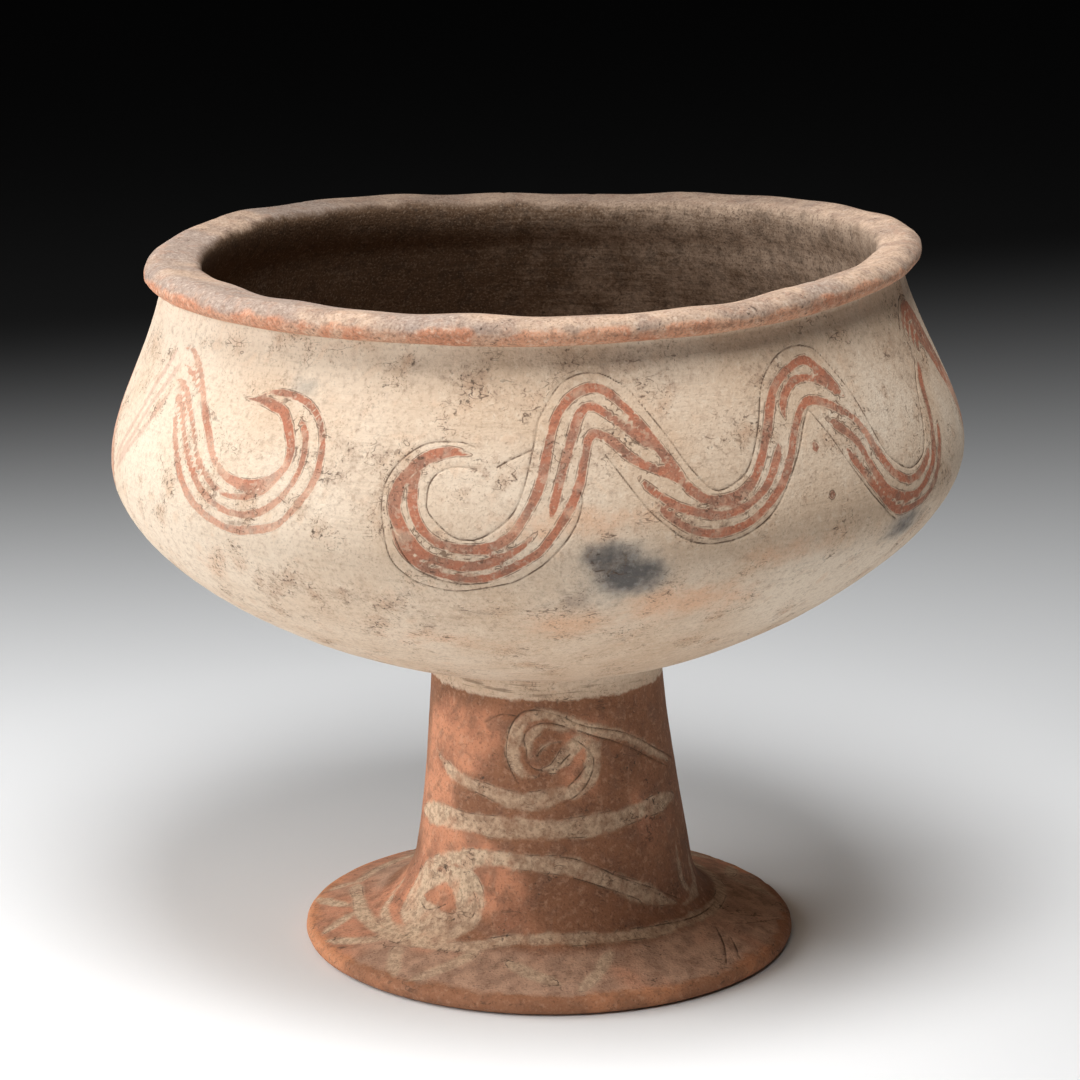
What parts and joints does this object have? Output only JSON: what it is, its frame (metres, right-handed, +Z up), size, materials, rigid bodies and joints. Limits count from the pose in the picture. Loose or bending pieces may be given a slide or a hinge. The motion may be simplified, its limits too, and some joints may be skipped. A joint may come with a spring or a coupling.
{
  "type": "pedestal bowl",
  "caption": "Wide round-shouldered earthenware bowl with a thick everted lip on a hollow stem and flared foot, painted with red wave bands.",
  "frame": {"origin": "on the floor the foot stands on, at the middle of the bounding box, under the bowl's greatest width", "axes": "+Z up through the stem and the mouth; -Y towards the side with the hooked wave band; +X to the right of that side"},
  "size_m": [0.2912, 0.2886, 0.2507],
  "materials": {
    "fired_clay": "matt cream slip with red paint, worn, with soot inside"
  },
  "bodies": {
    "root": {"pedestal_bowl": "fired_clay"}
  },
  "joints": []
}
